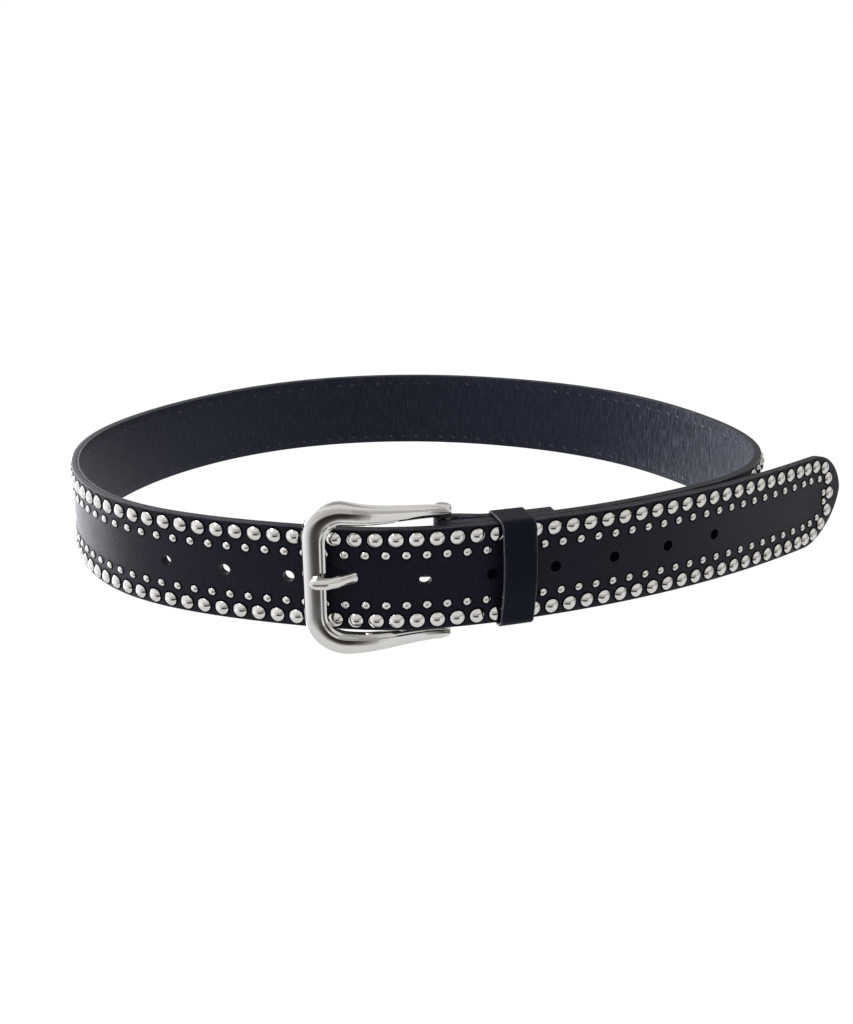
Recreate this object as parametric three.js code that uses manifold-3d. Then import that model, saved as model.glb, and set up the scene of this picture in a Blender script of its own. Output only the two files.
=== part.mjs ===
// A studded leather belt, buckled into a loop and standing on its lower edge.
// Millimetres, +Z up. The buckle faces -Y, and the origin is on the floor under the middle of the belt.
import * as THREE from 'three';
import { mergeVertices } from 'three/addons/utils/BufferGeometryUtils.js';
import Module from 'manifold-3d';

const wasm = await Module();
wasm.setup();

// Strap: outer leather with a thin lining behind it
const STRAP_WIDTH = 38;
const LEATHER_THICK = 2.1;
const LINING_THICK = 1.0;
const SKIN_GAP = 0.1;
const STRAP_THICK = LEATHER_THICK + SKIN_GAP + LINING_THICK;
const LAYER_GAP = 0.5;
const LAYER_STEP = STRAP_THICK + LAYER_GAP;
const TIP_APEX = 21.5; // height at which the rounded tip reaches furthest
const TIP_UPPER = { depth: 18, exponent: 1.9 };
const TIP_LOWER = { depth: 25, exponent: 1.65 };
const FLAP_LENGTH = 40;

// Studs and holes. Their places are counted along the free end from the middle of the front
const STUD_PITCH = 7.12;
const STUD_PHASE = 3.7;
const STUD_RADIUS = 2.6;
const STUD_HEIGHT = 1.8;
const STUD_TOP_RADIUS = 1.3;
const STUD_INSET = 3.8;
const STUD_GAP = 0.25;
const STUD_SIDES = 10;
const STUD_TOP_CORNERS = 3;
const LAST_STRAIGHT_STUD = 24;
// The studs round the tip: distance back from its end, and height on the strap
const END_STUDS = [
  { back: 25.4, height: 34.2 },
  { back: 18.8, height: 34 },
  { back: 12, height: 32.3 },
  { back: 9.3, height: 27.3 },
  { back: 8.3, height: 20.7 },
  { back: 9.8, height: 13.5 },
  { back: 14.3, height: 8.3 },
  { back: 19.9, height: 4.8 },
  { back: 25.9, height: 4 },
];
const STUD_COVERED = 138;
const HOLE_PITCH = 24;
const HOLE_PHASE = -0.5;
const HOLE_RADIUS = 2.1;
const HOLES_BEFORE = 4;
const HOLES_AFTER = 5;
const HOLE_SIDES = 8;

// Hinge bar, frame and prong of the buckle
const HINGE_STATION = 7.6;
const BAR_RADIUS = 1.5;
const BAR_GAP = 0.3;
const FOLD_RADIUS = BAR_RADIUS + BAR_GAP + STRAP_THICK / 2;
const BOSS_RADIUS = 2.4;
const BOSS_RISE = 0.6;
const TIP_STATION = 206;

// Path of the strap. The control rows of a smooth curve, along the middle of its thickness:
// place in plan, how far the top edge leans outward, and how high the lower edge is lifted.
// The front rows carry the free end, and the buckle end lies one layer inside them.
const FRONT_ROWS = [
  { x: -86.4, y: 15.8, lean: 0.5, lift: 7.5 },
  { x: -50, y: 6, lean: 0, lift: 7.5 },
  { x: -15, y: -0.5, lean: -1, lift: 7.5 },
  { x: 19, y: 5.5, lean: -1, lift: 7.5 },
  { x: 53, y: 16.5, lean: 0, lift: 7.5 },
  { x: 86, y: 30.5, lean: -1, lift: 7.5 },
  { x: 117, y: 49.5, lean: -2.5, lift: 6.5 },
  { x: 145, y: 71, lean: -4, lift: 5 },
  { x: 170, y: 92, lean: -4.5, lift: 4.5 },
  { x: 194, y: 111, lean: -4.5, lift: 4.5 },
  { x: 218, y: 130, lean: -4.5, lift: 4.5 },
];
const LAYERED_ROWS = [1, 2, 3, 4, 5];
const LOOP_ROWS = [
  { x: 124, y: 60, lean: 0, lift: 7 },
  { x: 142, y: 92, lean: 0, lift: 6 },
  { x: 145, y: 130, lean: -2, lift: 3.5 },
  { x: 136, y: 166, lean: -1, lift: 1 },
  { x: 114, y: 202, lean: 1.5, lift: 0 },
  { x: 84, y: 226, lean: 2, lift: 0 },
  { x: 48, y: 242, lean: 2, lift: 0 },
  { x: 8, y: 251, lean: 2, lift: 0 },
  { x: -33, y: 250.5, lean: 0.5, lift: 0 },
  { x: -72, y: 240.5, lean: -1.5, lift: 0 },
  { x: -106, y: 221, lean: -3.5, lift: 0 },
  { x: -133, y: 191, lean: -4, lift: 0.5 },
  { x: -149.6, y: 155.6, lean: -3, lift: 1.5 },
  { x: -154.3, y: 114.8, lean: -2, lift: 4 },
  { x: -144.2, y: 70.2, lean: -1, lift: 6 },
  { x: -119.2, y: 33.6, lean: 0, lift: 7 },
];
// Middle of the belt's outline in the rows' own plan, which becomes the origin
const PLAN_CENTRE = { x: 11.6, y: 123.7 };

const COLOURS = {
  leather: { color: 0x14151f, roughness: 0.45, metalness: 0 },
  lining: { color: 0x1d2230, roughness: 0.6, metalness: 0 },
  nickel: { color: 0xd9d8d4, roughness: 0.12, metalness: 1 },
};

const lerp = (a, b, t) => a + (b - a) * t;
const smooth = (t) => {
  const c = Math.min(Math.max(t, 0), 1);
  return c * c * (3 - 2 * c);
};

// Point of a uniform cubic B-spline in span i at t, for every named column
function splinePoint(rows, i, t) {
  const weights = [
    (1 - t) ** 3,
    3 * t ** 3 - 6 * t ** 2 + 4,
    -3 * t ** 3 + 3 * t ** 2 + 3 * t + 1,
    t ** 3,
  ];
  const point = { x: 0, y: 0, lean: 0, lift: 0 };
  for (let k = 0; k < 4; k += 1) {
    for (const column of Object.keys(point)) point[column] += rows[i + k][column] * weights[k] / 6;
  }
  return point;
}

// Adds to each sample the distance along the curve and the direction that the leather face looks in
function measure(samples) {
  samples.forEach((sample, i) => {
    const before = samples[Math.max(i - 1, 0)];
    const after = samples[Math.min(i + 1, samples.length - 1)];
    const length = Math.hypot(after.x - before.x, after.y - before.y);
    sample.nx = (after.y - before.y) / length;
    sample.ny = -(after.x - before.x) / length;
    sample.along = i ? samples[i - 1].along + Math.hypot(sample.x - before.x, sample.y - before.y) : 0;
  });
  return samples;
}

const SAMPLES_PER_SPAN = 60;
function sampleCurve(rows) {
  const samples = [];
  for (let i = 0; i + 3 < rows.length; i += 1) {
    for (let k = 0; k < SAMPLES_PER_SPAN; k += 1) samples.push(splinePoint(rows, i, k / SAMPLES_PER_SPAN));
  }
  return measure(samples);
}

// Interpolated sample at a distance along the curve
function at(curve, along) {
  let i = curve.findIndex((sample) => sample.along > along);
  if (i < 1) i = i < 0 ? curve.length - 1 : 1;
  const a = curve[i - 1];
  const b = curve[i];
  const t = (along - a.along) / (b.along - a.along);
  const point = { along };
  for (const column of ['x', 'y', 'lean', 'lift', 'nx', 'ny']) {
    point[column] = lerp(a[column], b[column], t);
  }
  return point;
}

const layered = LAYERED_ROWS.map((index) => {
  const row = FRONT_ROWS[index];
  const before = FRONT_ROWS[index - 1];
  const after = FRONT_ROWS[index + 1];
  const length = Math.hypot(after.x - before.x, after.y - before.y);
  return {
    ...row,
    x: row.x - (after.y - before.y) / length * LAYER_STEP,
    y: row.y + (after.x - before.x) / length * LAYER_STEP,
  };
});
const beltCurve = sampleCurve([...layered, ...LOOP_ROWS, ...FRONT_ROWS]);

// Distance along the belt curve of a place on the free end, counted from the middle of the front
const half = beltCurve[beltCurve.length - 1].along / 2;
const middle = beltCurve.find((sample) => sample.along > half && sample.x > 0).along;
const station = (place) => middle + place;

// The buckle end starts where it lies behind the hinge station of the free end
const hinge = at(beltCurve, station(HINGE_STATION));
const layerStart = beltCurve.find((sample) => {
  return (sample.x - hinge.x) * -hinge.ny + (sample.y - hinge.y) * hinge.nx > 0;
}).along;
const buckleEnd = at(beltCurve, layerStart);
const bar = {
  x: buckleEnd.x - buckleEnd.nx * FOLD_RADIUS,
  y: buckleEnd.y - buckleEnd.ny * FOLD_RADIUS,
};
// The bar leans with the strap that is folded round it
function barPoint(z) {
  const lean = buckleEnd.lean * (z - buckleEnd.lift) / STRAP_WIDTH;
  return new THREE.Vector3(bar.x + buckleEnd.nx * lean, bar.y + buckleEnd.ny * lean, z);
}

// Stations of the whole strap: the flap, the fold round the bar, then the belt curve to the tip.
// leanX and leanY move the top edge, and low and high are the heights of the cut edges.
function strapStation(point, side = 1) {
  return {
    x: point.x,
    y: point.y,
    nx: point.nx * side,
    ny: point.ny * side,
    leanX: at(beltCurve, point.along).nx * point.lean,
    leanY: at(beltCurve, point.along).ny * point.lean,
    lift: point.lift,
    along: point.along,
    low: 0,
    high: STRAP_WIDTH,
  };
}

const FLAP_STEPS = 6;
const FLAP_CLOSES = 16;
const FOLD_STEPS = 6;
const SHORTEST_FLAT = 0.3;
const TIP_STEPS = [1, 0.78, 0.58, 0.4, 0.24, 0.11, 0.03, 0];
const TIP_BLUNT = 0.004;
// Share of a half of the strap's height that the rounded tip leaves at a distance back from its end
function tipShare(side, back) {
  const run = Math.max(1 - back / side.depth, 0);
  return Math.max(1 - run ** side.exponent, TIP_BLUNT) ** (1 / side.exponent);
}

function strapStations() {
  const list = [];
  for (let i = FLAP_STEPS; i > 0; i -= 1) {
    const run = FLAP_LENGTH * i / FLAP_STEPS;
    const point = at(beltCurve, layerStart + run);
    const inward = lerp(2 * FOLD_RADIUS, LAYER_STEP, smooth(run / FLAP_CLOSES));
    const flap = { ...point, x: point.x - point.nx * inward, y: point.y - point.ny * inward };
    list.push(strapStation(flap, -1));
  }
  for (let i = 0; i <= FOLD_STEPS; i += 1) {
    const turn = Math.PI * (1 - i / FOLD_STEPS);
    const nx = Math.cos(turn) * buckleEnd.nx + Math.sin(turn) * buckleEnd.ny;
    const ny = Math.cos(turn) * buckleEnd.ny - Math.sin(turn) * buckleEnd.nx;
    const point = strapStation(buckleEnd);
    list.push({ ...point, nx, ny, x: bar.x + nx * FOLD_RADIUS, y: bar.y + ny * FOLD_RADIUS });
  }
  // Each flat of the belt carries two studs, so its joints lie halfway between studs
  const flat = 2 * STUD_PITCH;
  const lastFlat = station(STUD_PHASE + (LAST_STRAIGHT_STUD + 0.5) * STUD_PITCH);
  const flats = Math.floor((lastFlat - layerStart) / flat - SHORTEST_FLAT);
  for (let i = flats; i >= 0; i -= 1) list.push(strapStation(at(beltCurve, lastFlat - i * flat)));
  for (const step of TIP_STEPS) {
    const back = step * TIP_LOWER.depth;
    const point = strapStation(at(beltCurve, station(TIP_STATION - back)));
    point.low = TIP_APEX * (1 - tipShare(TIP_LOWER, back));
    point.high = TIP_APEX + (STRAP_WIDTH - TIP_APEX) * tipShare(TIP_UPPER, back);
    list.push(point);
  }
  return list;
}
const stations = strapStations();

// Point of the strap: out is its distance from the middle of the thickness towards the leather
// face, and height runs from 0 at the lower edge to the strap's width
function strapPoint(place, out, height) {
  const share = height / STRAP_WIDTH;
  return new THREE.Vector3(
    place.x + place.nx * out + place.leanX * share,
    place.y + place.ny * out + place.leanY * share,
    place.lift + height,
  );
}

function geometryFrom(points, triangles) {
  const geometry = new THREE.BufferGeometry();
  const numbers = points.flatMap((p) => [p.x, p.y, p.z]);
  geometry.setAttribute('position', new THREE.Float32BufferAttribute(numbers, 3));
  geometry.setIndex(triangles.flat());
  return geometry;
}

// Closed body through rings of equally many points, with flat ends
function loft(rings) {
  const count = rings[0].length;
  const triangles = [];
  for (let i = 0; i + 1 < rings.length; i += 1) {
    for (let k = 0; k < count; k += 1) {
      const a = i * count + k;
      const b = i * count + (k + 1) % count;
      triangles.push([a, b, b + count], [a, b + count, a + count]);
    }
  }
  const last = (rings.length - 1) * count;
  for (let k = 1; k + 1 < count; k += 1) triangles.push([0, k + 1, k], [last, last + k, last + k + 1]);
  return geometryFrom(rings.flat(), triangles);
}

// Solid from any closed mesh, turned so that its faces point out
const SAME_POINT = 1e-4;
function solidFrom(geometry) {
  const bare = geometry.clone();
  for (const name of Object.keys(bare.attributes)) {
    if (name !== 'position') bare.deleteAttribute(name);
  }
  const merged = mergeVertices(bare, SAME_POINT);
  const mesh = new wasm.Mesh({
    numProp: 3,
    vertProperties: new Float32Array(merged.attributes.position.array),
    triVerts: new Uint32Array(merged.index.array),
  });
  const solid = new wasm.Manifold(mesh);
  if (solid.volume() > 0) return solid;
  for (let i = 0; i < mesh.triVerts.length; i += 3) {
    const first = mesh.triVerts[i];
    mesh.triVerts[i] = mesh.triVerts[i + 1];
    mesh.triVerts[i + 1] = first;
  }
  return new wasm.Manifold(mesh);
}

function geometryOf(solid) {
  const mesh = solid.getMesh();
  const geometry = new THREE.BufferGeometry();
  geometry.setAttribute('position', new THREE.BufferAttribute(mesh.vertProperties, 3));
  geometry.setIndex(new THREE.BufferAttribute(mesh.triVerts, 1));
  return geometry;
}

// Straight bar of round section between two points, from a cylinder that stands along Y
function roundBar(from, to, radius, sides) {
  const axis = to.clone().sub(from);
  const geometry = new THREE.CylinderGeometry(radius, radius, axis.length(), sides);
  const standing = new THREE.Vector3(0, 1, 0);
  geometry.applyQuaternion(new THREE.Quaternion().setFromUnitVectors(standing, axis.clone().normalize()));
  geometry.translate(...from.clone().add(to).multiplyScalar(0.5).toArray());
  return solidFrom(geometry);
}

// Prong: rings of a rounded section along a bent centre line, from the bar to the left bar
const PRONG_HALF_HEIGHT = 2.1;
const PRONG_HALF_DEPTH = 1.15;
const PRONG_SIDES = 10;
const PRONG_ROWS = [
  { x: bar.x - 1, y: bar.y - 2.6, z: 26.6, size: 0.9 },
  { x: -4, y: 7.6, z: 26.8, size: 0.95 },
  { x: -13, y: 5.6, z: 27, size: 1 },
  { x: -20.5, y: 3.6, z: 27.3, size: 1 },
  { x: -25, y: 0.6, z: 27.6, size: 1 },
  { x: -29.5, y: -3.4, z: 28, size: 1 },
  { x: -34, y: -6, z: 28.3, size: 1 },
  { x: -37.6, y: -6.6, z: 28.5, size: 0.96 },
  { x: -39.2, y: -6.7, z: 28.6, size: 0.75 },
  { x: -40, y: -6.7, z: 28.6, size: 0.3 },
];
function prongBody(clearance) {
  const rings = PRONG_ROWS.map((row, i) => {
    const before = PRONG_ROWS[Math.max(i - 1, 0)];
    const after = PRONG_ROWS[Math.min(i + 1, PRONG_ROWS.length - 1)];
    const length = Math.hypot(after.x - before.x, after.y - before.y);
    const across = { x: (after.y - before.y) / length, y: -(after.x - before.x) / length };
    const ring = [];
    for (let k = 0; k < PRONG_SIDES; k += 1) {
      const angle = 2 * Math.PI * (k + 0.5) / PRONG_SIDES;
      const depth = (PRONG_HALF_DEPTH * row.size + clearance) * Math.sin(angle);
      const height = (PRONG_HALF_HEIGHT * row.size + clearance) * Math.cos(angle);
      ring.push(new THREE.Vector3(row.x + across.x * depth, row.y + across.y * depth, row.z + height));
    }
    return ring;
  });
  return solidFrom(loft(rings));
}

const EYE_WALL = 1.4;
const EYE_GAP = 0.3;
const EYE_SIDES = 10;
function buckleProng() {
  const foot = barPoint(PRONG_ROWS[0].z - PRONG_HALF_HEIGHT);
  const head = barPoint(PRONG_ROWS[0].z + PRONG_HALF_HEIGHT);
  const eye = roundBar(foot, head, BAR_RADIUS + EYE_GAP + EYE_WALL, EYE_SIDES);
  const drill = roundBar(barPoint(0), barPoint(FRAME_OUTER.top), BAR_RADIUS + EYE_GAP, EYE_SIDES);
  return eye.add(prongBody(0)).subtract(drill);
}

// Everything that is cut through both skins: the punched holes, the stretched hole that the
// prong comes through, and the oblong slot where the prong's eye turns on the bar
const SLOT_HALF_HEIGHT = 3.4;
const SLOT_REACH = 9;
const SLOT_DEPTH = 10;
const PRONG_CLEARANCE = 0.35;
function strapCuts() {
  const cuts = [];
  for (let i = -HOLES_BEFORE; i <= HOLES_AFTER; i += 1) {
    const place = strapStation(at(beltCurve, station(HOLE_PHASE + i * HOLE_PITCH)));
    const reach = STRAP_THICK / 2 + LAYER_GAP / 2;
    const ends = [-reach, reach].map((out) => strapPoint(place, out, STRAP_WIDTH / 2));
    cuts.push(roundBar(ends[0], ends[1], HOLE_RADIUS, HOLE_SIDES));
  }
  cuts.push(prongBody(PRONG_CLEARANCE));
  const slot = new THREE.BoxGeometry(2 * SLOT_REACH, SLOT_DEPTH, 2 * SLOT_HALF_HEIGHT);
  slot.rotateZ(Math.atan2(buckleEnd.nx, -buckleEnd.ny));
  slot.translate(bar.x, bar.y, buckleEnd.lift + STRAP_WIDTH / 2);
  cuts.push(solidFrom(slot));
  return cuts;
}

// One skin between two distances from the middle of the thickness. The face that meets the
// other skin is given first, so that both skins split their flats along the same diagonals
function strapSkin(meeting, away) {
  const rings = stations.map((place) => [
    strapPoint(place, meeting, place.low),
    strapPoint(place, meeting, place.high),
    strapPoint(place, away, place.high),
    strapPoint(place, away, place.low),
  ]);
  let skin = solidFrom(loft(rings));
  for (const cut of strapCuts()) skin = skin.subtract(cut);
  return geometryOf(skin);
}

// Large studs. Each is a low dome, and a thin web joins it to the next one of its row, so that
// both rows and the turn round the tip are one body
function facetPlace(along) {
  const first = stations.findIndex((place, i) => i > FLAP_STEPS + FOLD_STEPS && place.along > along) - 1;
  const a = stations[first];
  const b = stations[first + 1];
  const t = (along - a.along) / (b.along - a.along);
  const place = {};
  for (const column of ['x', 'y', 'nx', 'ny', 'leanX', 'leanY', 'lift']) {
    place[column] = lerp(a[column], b[column], t);
  }
  const length = Math.hypot(b.x - a.x, b.y - a.y);
  place.tangent = new THREE.Vector3((b.x - a.x) / length, (b.y - a.y) / length, 0);
  return place;
}

// Places of the studs in order: back along the top row, round the tip, and out along the bottom row
function studPlaces() {
  const uncovered = layerStart + STUD_COVERED;
  const last = station(STUD_PHASE + LAST_STRAIGHT_STUD * STUD_PITCH);
  const rowLength = Math.floor((last - uncovered) / STUD_PITCH);
  const row = [];
  for (let i = rowLength; i >= 0; i -= 1) row.push(last - i * STUD_PITCH);
  const top = row.map((along) => ({ along, height: STRAP_WIDTH - STUD_INSET }));
  const bottom = row.map((along) => ({ along, height: STUD_INSET })).reverse();
  const end = END_STUDS.map(({ back, height }) => ({ along: station(TIP_STATION - back), height }));
  return [...top, ...end, ...bottom];
}

function largeStuds() {
  const points = [];
  const triangles = [];
  const places = studPlaces();
  const centres = places.map((place) => {
    const facet = facetPlace(place.along);
    return { facet, centre: strapPoint(facet, STRAP_THICK / 2 + STUD_GAP, place.height) };
  });
  const step = 2 * Math.PI / STUD_SIDES;
  const topStep = 2 * Math.PI / STUD_TOP_CORNERS;
  const nearestCorner = (k) => Math.round(k * STUD_TOP_CORNERS / STUD_SIDES) % STUD_TOP_CORNERS;
  let webBefore = null;
  centres.forEach(({ facet, centre }, i) => {
    const up = new THREE.Vector3(facet.leanX, facet.leanY, STRAP_WIDTH).normalize();
    const normal = facet.tangent.clone().cross(up).normalize();
    const next = centres[Math.min(i + 1, centres.length - 1)].centre;
    const previous = centres[Math.max(i - 1, 0)].centre;
    const forward = next.clone().sub(previous).projectOnPlane(normal).normalize();
    const side = normal.clone().cross(forward);
    const ringPoint = (radius, rise, angle) => centre.clone()
      .addScaledVector(forward, radius * Math.cos(angle))
      .addScaledVector(side, radius * Math.sin(angle))
      .addScaledVector(normal, rise);
    const base = points.length;
    for (let k = 0; k < STUD_SIDES; k += 1) points.push(ringPoint(STUD_RADIUS, 0, (k - 0.5) * step));
    const top = points.length;
    for (let k = 0; k < STUD_TOP_CORNERS; k += 1) {
      points.push(ringPoint(STUD_TOP_RADIUS, STUD_HEIGHT, k * topStep));
    }
    // Flat underside and flat top
    for (let k = 1; k + 1 < STUD_SIDES; k += 1) triangles.push([base, base + k + 1, base + k]);
    for (let k = 1; k + 1 < STUD_TOP_CORNERS; k += 1) triangles.push([top, top + k, top + k + 1]);
    // Sides: each base edge rises to the nearest corner of the top
    let web = null;
    for (let k = 0; k < STUD_SIDES; k += 1) {
      const a = base + k;
      const b = base + (k + 1) % STUD_SIDES;
      const corner = top + nearestCorner(k);
      const nextCorner = top + nearestCorner(k + 1);
      const facesNext = k === 0 && i + 1 < centres.length;
      const facesPrevious = k === STUD_SIDES / 2 && i > 0;
      if (facesNext || facesPrevious) {
        const m = points.length;
        points.push(points[a].clone().add(points[b]).multiplyScalar(0.5).lerp(points[corner], WEB_RISE));
        triangles.push([a, m, corner], [m, b, corner]);
        if (facesNext) web = [a, b, m];
        if (facesPrevious) joinWeb(triangles, webBefore, [b, a, m]);
      } else {
        triangles.push([a, b, corner]);
      }
      if (nextCorner !== corner) triangles.push([b, nextCorner, corner]);
    }
    webBefore = web;
  });
  return geometryFrom(points, triangles);
}

// Three-sided web between the open triangles on the facing sides of two studs
const WEB_RISE = 0.22;
function joinWeb(triangles, from, to) {
  for (let k = 0; k < 3; k += 1) {
    const a = from[k];
    const b = from[(k + 1) % 3];
    const c = to[(k + 1) % 3];
    const d = to[k];
    triangles.push([a, b, c], [a, c, d]);
  }
}

// Buckle frame: an outer and an inner horseshoe outline, seen from the front, with a section
// drawn between them. The arms step back from the left bar to the hinge bar
const FRAME_OUTER = {
  left: -42.5,
  top: 57.3,
  topEnd: 51.2,
  topRadius: 13,
  bottom: 0,
  bottomEnd: 2.7,
  bottomRadius: 15,
};
const FRAME_INNER = {
  left: -34.3,
  top: 48.6,
  topEnd: 46.7,
  topRadius: 6.5,
  bottom: 8.4,
  bottomEnd: 5.2,
  bottomRadius: 7,
};
const FRAME_RIGHT = 8.6;
const FRAME_FRONT_DEPTH = 4.2;
const FRAME_BACK_DEPTH = 5;
const FRAME_FRONT_Y = -3;
const FRAME_STEPS_BACK_FROM = -28;
const ARM_STEPS = 4;
const ARM_FLARE = 1.5;
const CORNER_STEPS = 5;
const HINGE_SETBACK = 1;

function horseshoe(outline) {
  const points = [];
  const arm = (end, edge, radius) => {
    const corner = outline.left + radius;
    for (let i = 0; i < ARM_STEPS; i += 1) {
      const t = i / ARM_STEPS;
      points.push({ x: lerp(FRAME_RIGHT, corner, t), z: lerp(end, edge, t ** ARM_FLARE) });
    }
    const sign = Math.sign(edge - STRAP_WIDTH / 2);
    for (let i = 0; i <= CORNER_STEPS; i += 1) {
      const turn = Math.PI / 2 * i / CORNER_STEPS;
      const z = edge - sign * radius * (1 - Math.cos(turn));
      points.push({ x: corner - radius * Math.sin(turn), z });
    }
  };
  arm(outline.topEnd, outline.top, outline.topRadius);
  const upper = points.splice(0);
  arm(outline.bottomEnd, outline.bottom, outline.bottomRadius);
  return [...upper, ...points.reverse()];
}

// Section from the outer edge (across -0.5) to the inner edge (0.5); deep -0.5 is the front
const FRAME_SECTION = [
  { across: -0.3, deep: 0.5 },
  { across: -0.5, deep: 0.1 },
  { across: -0.42, deep: -0.3 },
  { across: -0.2, deep: -0.5 },
  { across: 0.12, deep: -0.38 },
  { across: 0.42, deep: -0.12 },
  { across: 0.5, deep: 0.06 },
  { across: 0.15, deep: 0.5 },
];

function buckleFrame() {
  const outer = horseshoe(FRAME_OUTER);
  const inner = horseshoe(FRAME_INNER);
  const rings = outer.map((edge, i) => {
    const middleX = (edge.x + inner[i].x) / 2;
    const back = smooth((middleX - FRAME_STEPS_BACK_FROM) / (FRAME_RIGHT - FRAME_STEPS_BACK_FROM));
    const y = lerp(FRAME_FRONT_Y, bar.y - HINGE_SETBACK, back);
    const depth = lerp(FRAME_FRONT_DEPTH, FRAME_BACK_DEPTH, back);
    return FRAME_SECTION.map((corner) => new THREE.Vector3(
      lerp(edge.x, inner[i].x, corner.across + 0.5),
      y + corner.deep * depth,
      lerp(edge.z, inner[i].z, corner.across + 0.5),
    ));
  });
  const low = (FRAME_OUTER.bottomEnd + FRAME_INNER.bottomEnd) / 2;
  const high = (FRAME_OUTER.topEnd + FRAME_INNER.topEnd) / 2;
  let frame = solidFrom(loft(rings)).add(roundBar(barPoint(low), barPoint(high), BAR_RADIUS, EYE_SIDES));
  const bosses = [
    [FRAME_OUTER.bottomEnd, FRAME_INNER.bottomEnd],
    [FRAME_INNER.topEnd, FRAME_OUTER.topEnd + BOSS_RISE],
  ];
  for (const [from, to] of bosses) {
    frame = frame.add(roundBar(barPoint(from), barPoint(to), BOSS_RADIUS, EYE_SIDES));
  }
  return geometryOf(frame);
}

// Keeper: a stiff leather ring round the free end, the buckle end and the flap
const KEEPER_FROM = 25.3;
const KEEPER_TO = 37.9;
const KEEPER_WALL = 1.5;
const KEEPER_FRONT = 4.4;
const KEEPER_BACK = -10.3;
const KEEPER_SLACK = 0.4;
const KEEPER_FRONT_RADIUS = 3;
const KEEPER_BACK_RADIUS = 1;
const KEEPER_CROWN = 0.9;
const KEEPER_ARC_STEPS = 3;
function keeperOutline(grow) {
  const low = -KEEPER_SLACK - grow;
  const high = STRAP_WIDTH + KEEPER_SLACK + grow;
  const front = KEEPER_FRONT + grow;
  const back = KEEPER_BACK - grow;
  const arc = (out, height, radius, from) => {
    const points = [];
    for (let i = 0; i <= KEEPER_ARC_STEPS; i += 1) {
      const angle = from + Math.PI / 2 * i / KEEPER_ARC_STEPS;
      points.push(new THREE.Vector2(out + radius * Math.cos(angle), height + radius * Math.sin(angle)));
    }
    return points;
  };
  const frontRadius = KEEPER_FRONT_RADIUS + grow;
  const backRadius = KEEPER_BACK_RADIUS + grow;
  return [
    ...arc(front - frontRadius, low + frontRadius, frontRadius, -Math.PI / 2),
    new THREE.Vector2(front + KEEPER_CROWN, (low + high) / 2),
    ...arc(front - frontRadius, high - frontRadius, frontRadius, 0),
    ...arc(back + backRadius, high - backRadius, backRadius, Math.PI / 2),
    ...arc(back + backRadius, low + backRadius, backRadius, Math.PI),
  ];
}

function keeperLoop() {
  const shape = new THREE.Shape(keeperOutline(KEEPER_WALL));
  shape.holes.push(new THREE.Path(keeperOutline(0)));
  const length = KEEPER_TO - KEEPER_FROM;
  const extrusion = { depth: length, bevelEnabled: false, curveSegments: 1 };
  const geometry = new THREE.ExtrudeGeometry(shape, extrusion);
  const place = at(beltCurve, station((KEEPER_FROM + KEEPER_TO) / 2));
  const out = new THREE.Vector3(place.nx, place.ny, 0).normalize();
  const up = new THREE.Vector3(0, 0, 1);
  const turn = new THREE.Matrix4().makeBasis(out, up, out.clone().cross(up));
  geometry.translate(0, 0, -length / 2);
  geometry.applyMatrix4(turn.setPosition(place.x, place.y, place.lift));
  return geometryOf(solidFrom(geometry));
}

const belt = new THREE.Group();
belt.position.set(-PLAN_CENTRE.x, -PLAN_CENTRE.y, 0);
function addPiece(name, geometry, finish) {
  const mesh = new THREE.Mesh(geometry, new THREE.MeshStandardMaterial(COLOURS[finish]));
  mesh.name = name;
  belt.add(mesh);
}

const face = STRAP_THICK / 2;
addPiece('strap_leather', strapSkin(face - LEATHER_THICK, face), 'leather');
addPiece('strap_lining', strapSkin(-face + LINING_THICK, -face), 'lining');
addPiece('large_studs', largeStuds(), 'nickel');
addPiece('buckle_frame', buckleFrame(), 'nickel');
addPiece('buckle_prong', geometryOf(buckleProng()), 'nickel');
addPiece('keeper_loop', keeperLoop(), 'leather');

export default belt;
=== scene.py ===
import math

import bpy
from mathutils import Matrix, Vector


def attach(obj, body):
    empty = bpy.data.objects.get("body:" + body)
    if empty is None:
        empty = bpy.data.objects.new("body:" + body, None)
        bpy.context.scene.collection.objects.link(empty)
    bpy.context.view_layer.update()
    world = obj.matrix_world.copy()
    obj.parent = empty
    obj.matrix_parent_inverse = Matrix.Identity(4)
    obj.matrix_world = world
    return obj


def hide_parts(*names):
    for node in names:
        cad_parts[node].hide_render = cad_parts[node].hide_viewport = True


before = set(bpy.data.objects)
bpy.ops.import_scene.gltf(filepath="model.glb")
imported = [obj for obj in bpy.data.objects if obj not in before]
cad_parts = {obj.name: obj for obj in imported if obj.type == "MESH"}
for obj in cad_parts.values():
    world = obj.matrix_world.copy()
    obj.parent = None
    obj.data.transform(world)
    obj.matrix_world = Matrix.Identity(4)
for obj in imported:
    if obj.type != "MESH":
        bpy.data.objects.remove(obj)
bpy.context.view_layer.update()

# View. The belt stands on a white table and is seen from the front and a little above.
# The light is soft and comes from all round, and the space in front of the belt is dark.
mm = 0.001
eye = Vector((-11.6, -471.8, 185.3)) * mm
look_down = math.radians(20.9)
bpy.ops.object.camera_add(location=eye, rotation=(math.pi / 2 - look_down, 0, 0))
camera = bpy.context.object
camera.data.sensor_width = 36
camera.data.lens = 38.67
camera.data.clip_start = 10 * mm
bpy.context.scene.camera = camera
bpy.context.scene.view_settings.view_transform = "Standard"


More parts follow.
